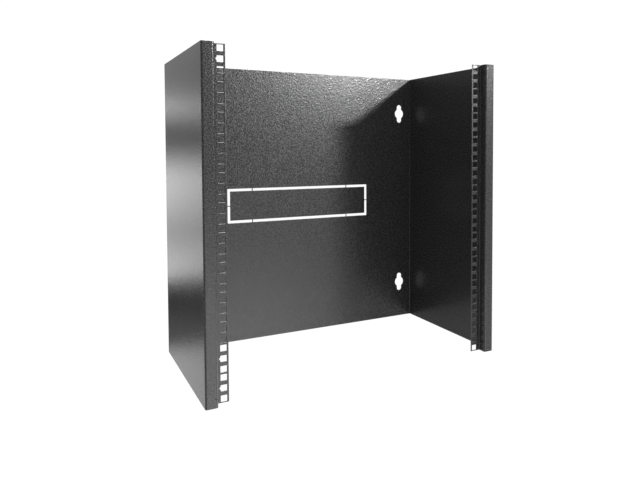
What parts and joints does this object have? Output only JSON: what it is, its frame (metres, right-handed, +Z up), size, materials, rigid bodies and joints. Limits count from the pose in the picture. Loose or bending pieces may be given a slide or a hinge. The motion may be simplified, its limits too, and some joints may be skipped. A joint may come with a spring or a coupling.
{
  "type": "wall mount rack",
  "caption": "Open wall rack folded from black sheet steel: a flat back with keyholes, two side panels and two recessed rails with square mounting holes.",
  "frame": {"origin": "under the middle of the rack, level with its lower edges", "axes": "+X to the right as seen from the front, +Y back to the wall, +Z up"},
  "size_m": [0.527, 0.3, 0.5334],
  "materials": {
    "powder_coat": "black powder coat, semi-gloss with a fine sand texture"
  },
  "bodies": {
    "root": {"back_panel": "powder_coat", "knockout_plate": "powder_coat", "left_side_panel": "powder_coat", "left_front_flange": "powder_coat", "left_rail_web": "powder_coat", "left_mounting_rail": "powder_coat", "right_side_panel": "powder_coat", "right_front_flange": "powder_coat", "right_rail_web": "powder_coat", "right_mounting_rail": "powder_coat"}
  },
  "joints": []
}
